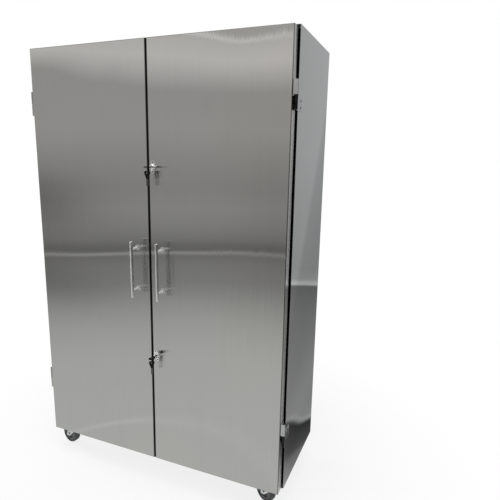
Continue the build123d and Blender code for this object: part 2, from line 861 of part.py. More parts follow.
def caster_fork():
    """Pressed fork: a folded channel trimmed to two tapering legs, with the lower race."""
    half = fork_half_width()
    low = wheel_radius - fork_leg_radius
    channel = folded(
        [(half, low), (half, fork_top), (-half, fork_top), (-half, low)],
        fork_sheet,
        fork_bend_radius,
    )
    length = trail + fork_leg_radius + fork_crown_length
    start = Plane(origin=(-length, 0, 0), x_dir=(0, 1, 0), z_dir=(1, 0, 0))
    channel = extrude(start * channel, 2 * length)
    crown_z = fork_top - fork_crown_drop / 2
    outline = hull(
        Pos(-trail, wheel_radius) * Circle(fork_leg_radius),
        Pos(0, crown_z) * Rectangle(fork_crown_length, fork_crown_drop),
    )
    trim = Pos(0, half, 0) * extrude(Plane.XZ * outline, 2 * half)
    fork = channel & trim
    fork += rod_z(race_radius, (fork_top, fork_top + race_height))
    pin_z = (fork_top - fork_crown_drop, fork_top + race_height)
    fork -= rod_z(kingpin_radius + kingpin_clearance, pin_z)
    return fork - rod_y(axle_radius + snug_gap, (-half, half), -trail, wheel_radius)


def caster_axle():
    """Axle bolt through the legs, its head at the front, and the nut on its end."""
    half = fork_half_width()
    head_y = (-half - axle_head, -half)
    nut_y = (half, half + axle_head)
    axle = rod_y(axle_radius, (-half, half + axle_head), -trail, wheel_radius)
    axle += hexagon_y(axle_head_radius, head_y, -trail, wheel_radius)
    nut = hexagon_y(axle_head_radius, nut_y, -trail, wheel_radius)
    return [axle, nut - rod_y(axle_radius + snug_gap, nut_y, -trail, wheel_radius)]


def wheel_revolved(points):
    """Ring turned about the wheel axle from (radius, width) points."""
    section = make_face(Polyline(*points, close=True))
    turned = revolve(Plane.XZ * section, Axis.Z)
    return Pos(-trail, 0, wheel_radius) * Rot(90, 0, 0) * turned


def wheel_hub():
    """Moulded core: a bored boss, a thin web and a rim under the tyre."""
    rim = wheel_radius - tyre_depth
    boss = wheel_width / 2 + fork_side_gap - fit_gap
    web = hub_web / 2
    half = hub_rim_width / 2
    bore = axle_radius + axle_clearance
    profile = [
        (bore, -boss), (hub_boss_radius, -boss), (hub_boss_radius, -web),
        (rim - hub_rim, -web), (rim - hub_rim, -half), (rim, -half),
        (rim, half), (rim - hub_rim, half), (rim - hub_rim, web),
        (hub_boss_radius, web), (hub_boss_radius, boss), (bore, boss),
    ]
    return wheel_revolved(profile)


def wheel_tyre():
    """Rubber tyre with a flat tread and bevelled shoulders."""
    rim = wheel_radius - tyre_depth + snug_gap
    half = wheel_width / 2
    slope = tyre_shoulder / 2
    profile = [
        (rim, -half + slope), (rim + slope, -half), (wheel_radius - tyre_shoulder, -half),
        (wheel_radius - slope / 2, -half + slope), (wheel_radius, -half + 2 * slope),
        (wheel_radius, half - 2 * slope), (wheel_radius - slope / 2, half - slope),
        (wheel_radius - tyre_shoulder, half), (rim + slope, half), (rim, half - slope),
    ]
    return wheel_revolved(profile)


def bolt_hole_places():
    """Places of the four bolts in a caster plate."""
    return list(GridLocations(plate_hole_pitch_x, plate_hole_pitch_y, 2, 2))


def caster_plate():
    """Top plate bolted under the base, with the upper race pressed into it."""
    low = caster_height - plate_thickness
    outline = RectangleRounded(plate_length, plate_width, plate_corner)
    outline -= [place * Circle(caster_bolt_radius + snug_gap) for place in bolt_hole_places()]
    plate = Pos(0, 0, low) * extrude(outline, plate_thickness)
    race_low = fork_top + race_height + race_gap
    race = rod_z(race_radius + race_gap, (race_low, low))
    bore_z = (race_low, caster_height)
    return plate + race - rod_z(kingpin_radius + snug_gap, bore_z)


def backing_plate_inside():
    """Stiffening plate above the base sheet over a caster."""
    low = caster_height + sheet
    outline = RectangleRounded(plate_length, plate_width, plate_corner)
    outline -= [place * Circle(caster_bolt_radius + snug_gap) for place in bolt_hole_places()]
    return Pos(0, 0, low) * extrude(outline, backing_plate)


def caster_bolt_sets():
    """Four bolts with their nuts above the backing plate, and the kingpin."""
    plate_low = caster_height - plate_thickness
    nut_low = caster_height + sheet + backing_plate
    head_z = (plate_low - caster_bolt_head, plate_low)
    nut_z = (nut_low, nut_low + caster_nut)
    bolt = rod_z(caster_bolt_radius, (plate_low, nut_z[1]))
    bolt += hexagon_z(caster_bolt_head_radius, head_z)
    nut = hexagon_z(caster_bolt_head_radius, nut_z)
    nut -= rod_z(caster_bolt_radius + snug_gap, nut_z)
    pin_low = fork_top - fork_sheet - race_gap
    pin = rod_z(kingpin_radius, (pin_low - kingpin_head, caster_height))
    pin += rod_z(kingpin_head_radius, (pin_low - kingpin_head, pin_low))
    return [place * piece for place in bolt_hole_places() for piece in (bolt, nut)] + [pin]


def base_panel_with_holes():
    """Base sheet: the top sheet turned over, drilled for the caster bolts."""
    panel = Pos(0, 0, body_base) * mirror(cap_panel(), about=Plane.XY)
    hole_z = (body_base, body_base + sheet)
    for name in caster_places:
        for place in bolt_hole_places():
            hole = rod_z(caster_bolt_radius + snug_gap, hole_z)
            panel -= caster_plate_place(name) * place * hole
    return panel


def caster_plate_place(name):
    """Location of a caster's plate, square with the cabinet."""
    x, y, _ = caster_places[name]
    return Pos(x, y, 0)


# ---- write every piece ----
os.makedirs("parts", exist_ok=True)

save("side_panel_right", side_panel())
save("side_panel_left", mirrored(side_panel()))
save("top_panel", Pos(0, 0, body_top) * cap_panel())
save("base_panel", base_panel_with_holes())
save("back_panel", back_panel())
save("front_frame", front_frame())

save("shelf_uprights", *[piece for y in upright_places for piece in both_sides(upright(y))])
clips = [shelf_clip(y, top) for y in upright_places for top in shelf_tops]
save("shelf_clips", *clips, *[mirrored(clip) for clip in clips])
for number, top in enumerate(shelf_tops, start=1):
    save(f"shelf_{number}", shelf(top))
save("desiccant_tray", desiccant_tray())
save("silica_gel", silica_gel())
save("tray_cover", tray_cover())

save("right_door_pan", door_pan() - lock_holes())
save("left_door_pan", mirrored(door_pan()))
save("right_door_liner", door_liner() - lock_holes())
save("left_door_liner", mirrored(door_liner()))
save("right_door_gasket", door_gasket())
save("left_door_gasket", mirrored(door_gasket()))
save("meeting_seal", meeting_seal())

door_leaves = [door_hinge_leaf(height) for height in hinge_heights]
body_leaves = [body_hinge_leaf(height) for height in hinge_heights]
pins = [hinge_pin(height) for height in hinge_heights]
save("right_hinge_leaves", *door_leaves)
save("left_hinge_leaves", *[mirrored(leaf) for leaf in door_leaves])
save("body_hinge_leaves", *[piece for leaf in body_leaves for piece in both_sides(leaf)])
save("hinge_pins", *[piece for pin in pins for piece in both_sides(pin)])

posts = [handle_post(z) for z in post_heights()]
save("right_handle_bar", handle_bar())
save("left_handle_bar", mirrored(handle_bar()))
save("right_handle_posts", *posts)
save("left_handle_posts", *[mirrored(post) for post in posts])

turns = {"upper": 0.0, "lower": lower_escutcheon_turn}
save("lock_escutcheons", *[escutcheon(z, turns[name]) for name, z in lock_places.items()])
housings = [lock_housing(z) for z in lock_places.values()]
save("lock_housings", *housings, *[lock_nut_on(z) for z in lock_places.values()])
save("lock_strikes", *[lock_strike(z) for z in lock_places.values()])
for name, z in lock_places.items():
    key_blade_piece, key_head_piece, ring_piece = key_in_lock(z)
    spare_blade_piece, spare_head_piece = spare_key(z)
    save(f"{name}_lock_cylinder", *lock_cylinder(z))
    save(f"{name}_key_blade", key_blade_piece, ring_piece)
    save(f"{name}_key_head", key_head_piece)
    save(f"{name}_spare_blade", spare_blade_piece)
    save(f"{name}_spare_head", spare_head_piece)

save("bolt_guides", bolt_bracket(True), bolt_bracket(False))
save("upper_slide_bolt", slide_bolt(True))
save("lower_slide_bolt", slide_bolt(False))

plates = [caster_plate(), backing_plate_inside()]
save("caster_plates", *[caster_plate_place(n) * piece for n in caster_places for piece in plates])
fasteners = caster_bolt_sets()
save("caster_fasteners", *[caster_plate_place(n) * piece for n in caster_places for piece in fasteners])
for name in caster_places:
    place = caster_place(name)
    save(f"{name}_fork", *[place * piece for piece in [caster_fork()] + caster_axle()])
    save(f"{name}_hub", place * wheel_hub())
    save(f"{name}_tyre", place * wheel_tyre())
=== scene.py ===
"""Stainless steel desiccator cabinet on casters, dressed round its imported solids.

Metres throughout. +Z is up, the doors face -Y and the floor is at zero.
The sections follow the cabinet as it is put together: shell, shelving, desiccant tray,
casters, hinges, doors, handles, locks, keys and slide bolts, and last the studio round it.
"""
import json

import bpy
import numpy as np
from mathutils import Matrix, Vector


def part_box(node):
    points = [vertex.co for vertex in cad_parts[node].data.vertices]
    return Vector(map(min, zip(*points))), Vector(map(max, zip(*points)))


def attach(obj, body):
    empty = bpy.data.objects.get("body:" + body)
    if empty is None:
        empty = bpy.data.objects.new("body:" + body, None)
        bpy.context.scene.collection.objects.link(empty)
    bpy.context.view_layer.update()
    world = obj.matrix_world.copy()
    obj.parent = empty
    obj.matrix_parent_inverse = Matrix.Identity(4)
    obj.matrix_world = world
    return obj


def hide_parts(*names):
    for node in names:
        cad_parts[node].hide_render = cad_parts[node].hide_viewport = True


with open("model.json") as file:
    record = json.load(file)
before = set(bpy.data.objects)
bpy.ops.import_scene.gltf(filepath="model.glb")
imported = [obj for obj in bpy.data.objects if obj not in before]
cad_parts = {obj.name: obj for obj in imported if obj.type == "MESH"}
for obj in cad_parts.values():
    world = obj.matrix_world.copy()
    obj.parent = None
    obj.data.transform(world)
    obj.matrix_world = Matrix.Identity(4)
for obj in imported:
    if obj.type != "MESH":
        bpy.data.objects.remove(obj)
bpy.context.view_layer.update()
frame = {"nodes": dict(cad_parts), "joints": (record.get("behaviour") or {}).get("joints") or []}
MIDDLE_X = float(np.mean(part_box("back_panel"), axis=0)[0])


# ---- shell -----------------------------------------------------------------------------
# Five folded sheets and a front frame of 1.2 mm stainless steel, spot welded together.
# The sheet has a fine satin grain that runs up the cabinet, so that a reflection stays
# crisp in height and smears sideways. The corners are rubbed a little brighter.
class Signal:
    """A shader output; an operator on it adds the Math node that works it out."""

    def __init__(self, surface, socket):
        self.surface = surface
        self.socket = socket

    def math(self, operation, *values):
        inputs = dict(enumerate(values))
        return self.surface.add("Math", {"operation": operation}, inputs)

    def __add__(self, other):
        return self.math("ADD", self, other)

    def __sub__(self, other):
        return self.math("SUBTRACT", self, other)

    def __rsub__(self, other):
        return self.math("SUBTRACT", other, self)

    def __mul__(self, other):
        return self.math("MULTIPLY", self, other)

    def __truediv__(self, other):
        return self.math("DIVIDE", self, other)

    def __rtruediv__(self, other):
        return self.math("DIVIDE", other, self)

    __radd__ = __add__
    __rmul__ = __mul__

    def least(self, other):
        return self.math("MINIMUM", self, other)

    def most(self, other):
        return self.math("MAXIMUM", self, other)

    def power(self, exponent):
        return self.math("POWER", self, exponent)

    def exp(self):
        return self.math("EXPONENT", self)

    def step(self, low, high):
        """0 below low, 1 above high and a smooth rise between them."""
        settings = {"interpolation_type": "SMOOTHSTEP"}
        return self.surface.add("MapRange", settings, {"Value": self, 1: low, 2: high})


class Nodes:
    """A node tree, with one method that adds any node."""

    def __init__(self, tree):
        self.tree = tree

    def add(self, kind, settings=None, inputs=None, output=0):
        """Node of one kind: its settings first, then the values or links of its sockets."""
        node = self.tree.nodes.new("ShaderNode" + kind)
        for key, value in (settings or {}).items():
            if key == "stops":
                set_stops(node.color_ramp, value)
            else:
                setattr(node, key, value)
        for key, value in (inputs or {}).items():
            self.join(value, node.inputs[key])
        return Signal(self, node.outputs[output])

    def join(self, value, socket):
        if isinstance(value, Signal):
            self.tree.links.new(value.socket, socket)
        elif socket.type == "RGBA":
            socket.default_value = (*value[:3], 1.0)
        else:
            socket.default_value = value

    def split(self, vector):
        node = self.add("SeparateXYZ", {}, {0: vector}).socket.node
        return [Signal(self, output) for output in node.outputs]

    def blend(self, factor, first, second, how="MIX"):
        """Colour between two colours."""
        settings = {"data_type": "RGBA", "blend_type": how}
        return self.add("Mix", settings, {0: factor, 6: first, 7: second}, 2)

    def shaded(self, color, factor):
        """Colour made lighter or darker by a factor round 1."""
        grey = self.add("CombineColor", {}, {0: factor, 1: factor, 2: factor})
        return self.blend(1.0, color, grey, "MULTIPLY")


class Surface(Nodes):
    """A material on a Principled shader."""

    def __init__(self, name, **values):
        self.material = bpy.data.materials.new(name)
        self.material.use_nodes = True
        super().__init__(self.material.node_tree)
        self.shader = self.tree.nodes["Principled BSDF"]
        for socket, value in values.items():
            self.set(socket.replace("_", " ").title(), value)
        self.place = self.add("TexCoord", output="Object")

    def set(self, socket, value):
        self.join(value, self.shader.inputs[socket])

    def noise(self, scale, detail=2.0):
        """Smooth random field from 0 to 1 with so many waves a metre along each axis."""
        place = self.add("VectorMath", {"operation": "MULTIPLY"}, {0: self.place, 1: scale})
        return self.add("TexNoise", {}, {"Vector": place, "Scale": 1.0, "Detail": detail})

    def relief(self, height, normal=None):
        """Heights in metres become the shader's normal, from the given one where there is one."""
        inputs = {"Strength": 1.0, "Distance": 1.0, "Height": height}
        if normal:
            inputs["Normal"] = normal
        self.set("Normal", self.add("Bump", {}, inputs, "Normal"))

    def show(self, shader):
        """Puts another shader on the material's output."""
        self.tree.links.new(shader.socket, self.tree.nodes["Material Output"].inputs["Surface"])


def set_stops(ramp, stops):
    """Writes (position, colour) pairs into a colour ramp."""
    while len(ramp.elements) < len(stops):
        ramp.elements.new(1.0)
    for element, (position, color) in zip(ramp.elements, stops):
        element.position = position
        element.color = (*color, 1.0)


def dress(material, *nodes):
    """Gives solids of the frame one finish."""
    for node in nodes:
        slots = frame["nodes"][node].data.materials
        slots.clear()
        slots.append(material)


def on_fold(near):
    """1 within 1 mm of a sheet's nearest edge and 0 from 3.5 mm on."""
    return 1.0 - near.step(0.001, 0.0035)


def rubbed_fold(x, y, z, near):
    """A folded edge is rubbed a little brighter."""
    return on_fold(near) * 0.10


GRAIN_ACROSS = 2600.0      # waves of the satin grain in a metre
GRAIN_ALONG = 4.0
WAVE_HEIGHT = 0.0010       # of the slow waves in a thin sheet


def satin_steel(name, color, roughness, box, faces="XZ", grain=0.5, tone=rubbed_fold, dents=None):
    """Satin stainless sheet whose grain runs up the cabinet.

    Colour = base x (1 + clouds + streaks + hair - smears + tone), tone going by place and by
    the distance to the nearest edge along the axes in faces; roughness = base + streaks +
    smears; normal = true normal + grain x hair x sideways, tilted by the height of slow
    waves and dents.
    """
    steel = Surface(name, metallic=1.0, anisotropic=0.85)
    x, y, z = steel.split(steel.place)
    cloud = steel.noise((1.7, 1.7, 1.3), 3.0) - 0.5
    streak = steel.noise((55.0, 55.0, 0.9), 3.0) - 0.5
    hair = steel.noise((GRAIN_ACROSS, GRAIN_ACROSS, GRAIN_ALONG), 2.0) - 0.5
    smear = steel.noise((7.0, 7.0, 5.0), 5.0).step(0.55, 0.8)
    ends = dict(zip("XYZ", zip((x, y, z), *box)))
    near = None
    for axis in faces:
        value, low, high = ends[axis]
        margin = (value - low).least(high - value)
        near = margin if near is None else near.least(margin)
    warm = steel.noise((0.9, 0.9, 0.7), 1.0).step(0.4, 0.7)
    tinted = steel.blend(warm * 0.5, color, [c * w for c, w in zip(color, (1.04, 1.0, 0.96))])
    level = 1.0 + cloud * 0.10 + streak * 0.035 + hair * 0.05 - smear * 0.03
    steel.set("Base Color", steel.shaded(tinted, (level + tone(x, y, z, near)).most(0.02)))
    steel.set("Roughness", roughness + streak * 0.02 + smear * 0.015)
    normal = steel.add("NewGeometry", output="Normal")
    upright = (0.0, 0.0, 1.0)
    sideways = steel.add("VectorMath", {"operation": "CROSS_PRODUCT"}, {0: normal, 1: upright})
    tilt = steel.add("VectorMath", {"operation": "SCALE"}, {0: sideways, "Scale": hair * grain})
    tilted = steel.add("VectorMath", {"operation": "ADD"}, {0: normal, 1: tilt})
    height = steel.noise((2.1, 2.1, 1.9), 1.0) * WAVE_HEIGHT
    if dents:
        height = height + dents(x, y, z)
    steel.relief(height, steel.add("VectorMath", {"operation": "NORMALIZE"}, {0: tilted}))
    return steel.material


SHELL_STEEL = (0.415, 0.42, 0.42)
SHELL_SATIN = 0.05         # roughness
REFLECTION_LINE_AT = (0.176, 1.546)  # a point (y, z) of the slanting line of the painted reflection on the side sheets
REFLECTION_LINE_SLANT = 0.51
TWIST_HEIGHT = 0.36        # middle of the twist in the foot of a side sheet
TWIST_SPREAD = 0.15
TWIST_AXIS = 0.06          # y of the line that the twist turns about
HALF_DEPTH = 0.23
TWIST = 0.044
GAP_SHADE_TO = 0.014           # from the edge of the front frame, of the painted shade in the slot round the doors


def painted_side_reflection(x, y, z, near):
    """Painted reflection: the rear of a side sheet is darker behind a slanting line, a quarter less
    so below about a metre up.
    """
    line_y, line_z = REFLECTION_LINE_AT
    behind = y - line_y - (z - line_z) * REFLECTION_LINE_SLANT
    painted_dark = behind.step(-0.03, 0.06) * 0.32 + behind.step(0.0, 0.30) * 0.18
    return rubbed_fold(x, y, z, near) - painted_dark * (0.75 + z.step(0.94, 1.02) * 0.25)


def twisted(x, y, z):
    """Twist of the foot of a side sheet: with h the height above its middle, the sheet
    stands out by twist x h x exp(-(h / spread)^2) x a factor that falls from front to back."""
    above = z - TWIST_HEIGHT
    across = (TWIST_AXIS - y) / HALF_DEPTH
    return above * (0.0 - above * above / TWIST_SPREAD**2).exp() * across * TWIST


def painted_gap_shade(x, y, z, near):
    """Painted shade: the seal face is darkened near its edges, in the slot round the doors."""
    return near.step(GAP_SHADE_TO - 0.003, GAP_SHADE_TO) * 0.96 - 0.96


# The side sheets carry a painted reflection, darker behind a slanting line, and the front frame
# painted shade round the doors.
for panel, faces, grain, tone, dents in (
    ("side_panel_left", "YZ", 0.15, painted_side_reflection, twisted),
    ("side_panel_right", "YZ", 0.15, painted_side_reflection, twisted),
    ("top_panel", "XY", 0.5, rubbed_fold, None),
    ("base_panel", "XY", 0.5, rubbed_fold, None),
    ("back_panel", "XZ", 0.5, rubbed_fold, None),
    ("front_frame", "XZ", 0.5, painted_gap_shade, None),
):
    finish = (SHELL_STEEL, SHELL_SATIN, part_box(panel), faces, grain, tone, dents)
    dress(satin_steel(panel + "_steel", *finish), panel)


# ---- shelving --------------------------------------------------------------------------
# Four slotted shelves of the same sheet on folded clips, which hook into four slotted
# uprights. They are rubbed by what is slid over them, so the finish is duller than outside.
SHELF_STEEL = (0.58, 0.585, 0.59)

for shelf in ("shelf_1", "shelf_2", "shelf_3", "shelf_4"):
    dress(satin_steel(shelf + "_steel", SHELF_STEEL, 0.26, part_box(shelf), "XY", 0.4), shelf)
dress(
    satin_steel("upright_steel", SHELF_STEEL, 0.22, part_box("shelf_uprights"), "Z"),
    "shelf_uprights",
)


def worn_metal(name, color, roughness, grit, edge=0.0006, spangle=0.0, metallic=1.0, painted_shade=None):
    """Small metal part: clouded, lightly scratched and polished where its edges are rubbed.

    The rubbed edge is where the normal rounded over a short radius leaves the true one.
    Colour = base x (1 + clouds + grit + edge + spangle - painted shade), the painted shade
    going by x and y; grit is the number of its waves in a metre; height = 6 um x grit + 10 um x
    clouds.
    """
    metal = Surface(name, metallic=metallic)
    rounded = metal.add("Bevel", {"samples": 4}, {"Radius": edge})
    true = metal.add("NewGeometry", output="True Normal")
    facing = metal.add("VectorMath", {"operation": "DOT_PRODUCT"}, {0: rounded, 1: true}, 1)
    rubbed = (1.0 - facing).step(0.005, 0.12)
    cloud = metal.noise((35.0, 35.0, 35.0), 3.0) - 0.5
    fine = metal.noise((grit, grit, grit), 3.0) - 0.5
    level = 1.0 + cloud * 0.25 + fine * 0.12 + rubbed * 0.25
    if spangle:
        cells = metal.add("TexVoronoi", {}, {"Vector": metal.place, "Scale": 160.0}, "Color")
        level = level + (metal.split(cells)[0] - 0.5) * spangle
    # painted shade, where the part is given it
    if painted_shade:
        x, y, _ = metal.split(metal.place)
        level = (level - painted_shade(x, y)).most(0.03)
    metal.set("Base Color", metal.shaded(color, level))
    metal.set("Roughness", (roughness + cloud * 0.18 + fine * 0.10 - rubbed * 0.08).most(0.04))
    metal.relief(fine * 6.0e-6 + cloud * 1.0e-5)
    return metal.material


dress(worn_metal("clip_steel", SHELF_STEEL, 0.28, 900.0), "shelf_clips")


# ---- desiccant tray --------------------------------------------------------------------
# A folded pan with a flat rim stands on the base sheet, and a slotted cover lies on it.
# It is filled with silica gel: glassy beads 3 to 5 mm across, amber while they are dry.
dress(
    satin_steel("tray_steel", SHELF_STEEL, 0.28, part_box("desiccant_tray"), "XY", 0.4),
    "desiccant_tray",
)
dress(
    satin_steel("tray_cover_steel", SHELF_STEEL, 0.25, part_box("tray_cover"), "XY", 0.4),
    "tray_cover",
)

BEAD_AMBER = (0.62, 0.24, 0.05)
BEAD_PALE = (0.78, 0.55, 0.28)
BEADS_A_METRE = 240.0
BEAD_RISE = 0.0018

beads = Surface("gel_beads", roughness=0.12)
cells = {"Vector": beads.place, "Scale": BEADS_A_METRE}
to_centre = beads.add("TexVoronoi", {}, cells, "Distance")
pick = beads.split(beads.add("TexVoronoi", {}, cells, "Color"))[0]
dome_and_painted_shade = (1.0 - to_centre * to_centre * 1.6).most(0.0).power(0.5)
bead_color = beads.blend(pick, BEAD_AMBER, BEAD_PALE)
# The colour is painted shade: each bead is lighter at its top and darker towards its rim.
beads.set("Base Color", beads.shaded(bead_color, 0.35 + dome_and_painted_shade * 0.75))
beads.relief(dome_and_painted_shade * BEAD_RISE)
dress(beads.material, "silica_gel")


# ---- caster plates and their bolts -----------------------------------------------------
# Pressed plates, zinc plated, bolted through the base sheet to a plate inside it. The
# kingpin of each caster hangs from its plate. Zinc shows pale crystals and dull patches.
ZINC = (0.50, 0.51, 0.52)

dress(worn_metal("plate_zinc", ZINC, 0.34, 700.0, 0.0008, 0.16), "caster_plates")
dress(worn_metal("bolt_zinc", ZINC, 0.30, 1100.0, 0.0006, 0.10), "caster_fasteners")


# ---- caster forks and wheels -----------------------------------------------------------
# Each fork is pressed from bright zinc-plated steel and carries a hexagon axle bolt. The
# wheel is a moulded grey core with a black rubber tyre, ribbed in rings on its two faces.
FORK_ZINC = (0.58, 0.59, 0.60)
HUB_GREY = (0.13, 0.13, 0.135)
TYRE_BLACK = (0.034, 0.035, 0.038)
DUST = (0.30, 0.29, 0.27)
WHEEL_NAMES = ("front_left", "front_right", "rear_left", "rear_right")
TYRE_RADIUS = 0.050
TYRE_HALF_WIDTH = 0.016
TYRE_BORE = 0.03605
TREAD_CROWN = 0.0022
SHOULDER_WIDTH = 0.003
SHOULDER_DROP = 0.0022
LIP_WIDTH = 0.002          # the face sinks towards the bore over this width
LIP_DROP = 0.0016
RING_GROOVES = (0.0395, 0.0428, 0.0455)      # their radii
STEPS_ROUND_TYRE = 96
GROOVE_DEPTH = 0.0007
GROOVE_WIDTH = 0.0006


def moulded(name, color, roughness, pore, dust=0.0, gloss=0.5):
    """Moulded plastic or rubber: even, pitted by its mould, paler where dust has settled."""
    plastic = Surface(name)
    plastic.set("Specular IOR Level", gloss)
    pits = plastic.noise((pore, pore, pore), 4.0) - 0.5
    cloud = plastic.noise((28.0, 28.0, 28.0), 4.0)
    settled = cloud.step(0.45, 0.75) * dust
    dusty = plastic.blend(settled, color, DUST)
    plastic.set("Base Color", plastic.shaded(dusty, 1.0 + pits * 0.35))
    plastic.set("Roughness", roughness + pits * 0.2 + settled * 0.3)
    plastic.relief(pits * 3.0e-5)
    return plastic.material


def grid_mesh(name, points, closed_u, closed_v, material):
    """Mesh of a grid of points, its two directions closed into loops where asked.

    points has shape (rows, columns, 3), or one axis more for several grids alike. Face
    (i, j) joins the points (i, j), (i, j+1), (i+1, j+1) and (i+1, j), the indices taken
    round the loop in a closed direction.
    """
    rows, columns = points.shape[-3:-1]
    i = np.arange(rows if closed_u else rows - 1)[:, None]
    j = np.arange(columns if closed_v else columns - 1)[None, :]
    i_next = (i + 1) % rows
    j_next = (j + 1) % columns
    corners = (i * columns + j, i * columns + j_next, i_next * columns + j_next, i_next * columns + j)
    faces = np.stack(np.broadcast_arrays(*corners), axis=-1).reshape(-1, 4)
    points = points.reshape(-1, 3)
    starts = np.arange(0, len(points), rows * columns)
    faces = (faces + starts[:, None, None]).reshape(-1, 4)
    mesh = bpy.data.meshes.new(name)
    mesh.from_pydata(points.tolist(), [], faces.tolist())
    mesh.polygons.foreach_set("use_smooth", np.ones(len(faces), bool))
    mesh.materials.append(material)
    mesh.update()
    piece = bpy.data.objects.new(name, mesh)
    bpy.context.scene.collection.objects.link(piece)
    return piece


def frame_on(axis):
    """Unit axis, and two unit directions square to it and to each other."""
    axis = np.array(axis, float) / np.linalg.norm(axis)
    helper = np.array((0.0, 0.0, 1.0)) if abs(axis[2]) < 0.9 else np.array((1.0, 0.0, 0.0))
    side = np.cross(helper, axis)
    side /= np.linalg.norm(side)
    return axis, side, np.cross(axis, side)


def turned(profile, centre, axis, steps):
    """Points of a turned part: centre + radius x (cos t, sin t) round the axis + height x axis.

    profile holds (radius, height) pairs; row i of the result is the profile at angle t_i.
    """
    axis, side, up = frame_on(axis)
    angle = np.linspace(0, 2 * np.pi, steps, endpoint=False)[:, None, None]
    radius, height = np.array(profile, float).T[:, None, :, None]
    ring = np.cos(angle) * side + np.sin(angle) * up
    return np.array(centre, float) + radius * ring + height * axis


def tyre_profile():
    """Closed section of the tyre: bore, ribbed face, crowned tread, ribbed face.

    On a face the half width at radius r is that of the tyre, less the depth of each groove
    x exp(-((r - groove) / groove width)^2), less a slope at the lip and a curve at the
    shoulder. The tread is half an ellipse, as high as its crown, between the shoulders.
    """
    shoulder = TYRE_RADIUS - TREAD_CROWN
    r = np.linspace(TYRE_BORE, shoulder, 40)
    face = np.full_like(r, TYRE_HALF_WIDTH)
    for groove in RING_GROOVES:
        face -= GROOVE_DEPTH * np.exp(-(((r - groove) / GROOVE_WIDTH) ** 2))
    face -= LIP_DROP * np.clip((TYRE_BORE + LIP_WIDTH - r) / LIP_WIDTH, 0, 1)
    face -= SHOULDER_DROP * np.clip((r - shoulder + SHOULDER_WIDTH) / SHOULDER_WIDTH, 0, 1) ** 2
    t = np.linspace(0, np.pi, 24)[1:-1]
    tread = np.stack([shoulder + TREAD_CROWN * np.sin(t), face[-1] * np.cos(t)], axis=1)
    near = np.stack([r, face], axis=1)
    far = np.stack([r, -face], axis=1)[::-1]
    return np.concatenate([near, tread, far])


def wheel_axis(name):
    """Middle of a wheel and the direction of its axle, from the joint that it rolls on."""
    roll = next(joint for joint in frame["joints"] if joint["name"] == name + "_roll")
    return roll["pos_m"], roll["axis"]


forks = [wheel + "_fork" for wheel in WHEEL_NAMES]
hubs = [wheel + "_hub" for wheel in WHEEL_NAMES]
dress(worn_metal("fork_zinc", FORK_ZINC, 0.22, 600.0, 0.0010), *forks)
dress(moulded("hub_plastic", HUB_GREY, 0.45, 1200.0, 0.25), *hubs)
tyre_rubber = moulded("tyre_rubber", TYRE_BLACK, 0.55, 900.0, 0.35)
for wheel in WHEEL_NAMES:
    points = turned(tyre_profile(), *wheel_axis(wheel), STEPS_ROUND_TYRE)
    tyre = grid_mesh(wheel + "_ribbed_tyre", points, True, True, tyre_rubber)
    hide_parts(wheel + "_tyre")
    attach(tyre, wheel + "_wheel")


# ---- hinges ----------------------------------------------------------------------------
# Lift-off hinges of polished satin steel. The upper knuckle belongs to the door and drops
# over a pin held in the lower one, painted black at the right as shade. The door leaves are
# painted darker on the side of the door, as shade. Countersunk cross screws hold the leaves
# to the sheets.
HINGE_STEEL = (0.40, 0.40, 0.405)
PIN_STEEL = (0.62, 0.62, 0.63)
KNUCKLE_SHADE_TO = -0.187         # y in front of which the body leaves at the right are painted black as shade
SHADE_FROM = -0.206        # y behind which the door leaves are painted darker as shade
SHADE_EDGE_WIDTH = 0.006


def painted_knuckle_shade(x, y):
    """Painted shade: the body leaves are black in front of the side sheet, at the right only."""
    return (1.0 - y.step(KNUCKLE_SHADE_TO - SHADE_EDGE_WIDTH, KNUCKLE_SHADE_TO)) * x.step(-0.1, 0.1) * 0.97


def painted_left_leaf_shade(x, y):
    """The left door's leaves are a little darker all over, and painted shade makes them darker still
    on the side of the door.
    """
    return 0.30 + y.step(SHADE_FROM, SHADE_FROM + SHADE_EDGE_WIDTH) * 0.50


def painted_right_leaf_shade(x, y):
    """Painted shade: the right door's leaves keep their colour in front and are darker on the side of
    the door.
    """
    return y.step(SHADE_FROM, SHADE_FROM + SHADE_EDGE_WIDTH) * 0.80


# Each set of leaves takes its painted shade from one of the three functions above.
for leaves, painted_shade in (("body", painted_knuckle_shade), ("left", painted_left_leaf_shade), ("right", painted_right_leaf_shade)):
    steel = worn_metal(leaves + "_hinge_steel", HINGE_STEEL, 0.20, 500.0, 0.0008, painted_shade=painted_shade)
    dress(steel, leaves + "_hinge_leaves")
dress(worn_metal("pin_steel", PIN_STEEL, 0.12, 800.0), "hinge_pins")

SCREW_STEEL = (0.05, 0.05, 0.052)      # near black
SCREW_HEAD = 0.0050        # radius of a hinge screw's head
SCREW_RISE = 0.0011
SCREW_CROSS = 0.00055      # half width of the cross slots
STEPS_ROUND_SCREW = 48


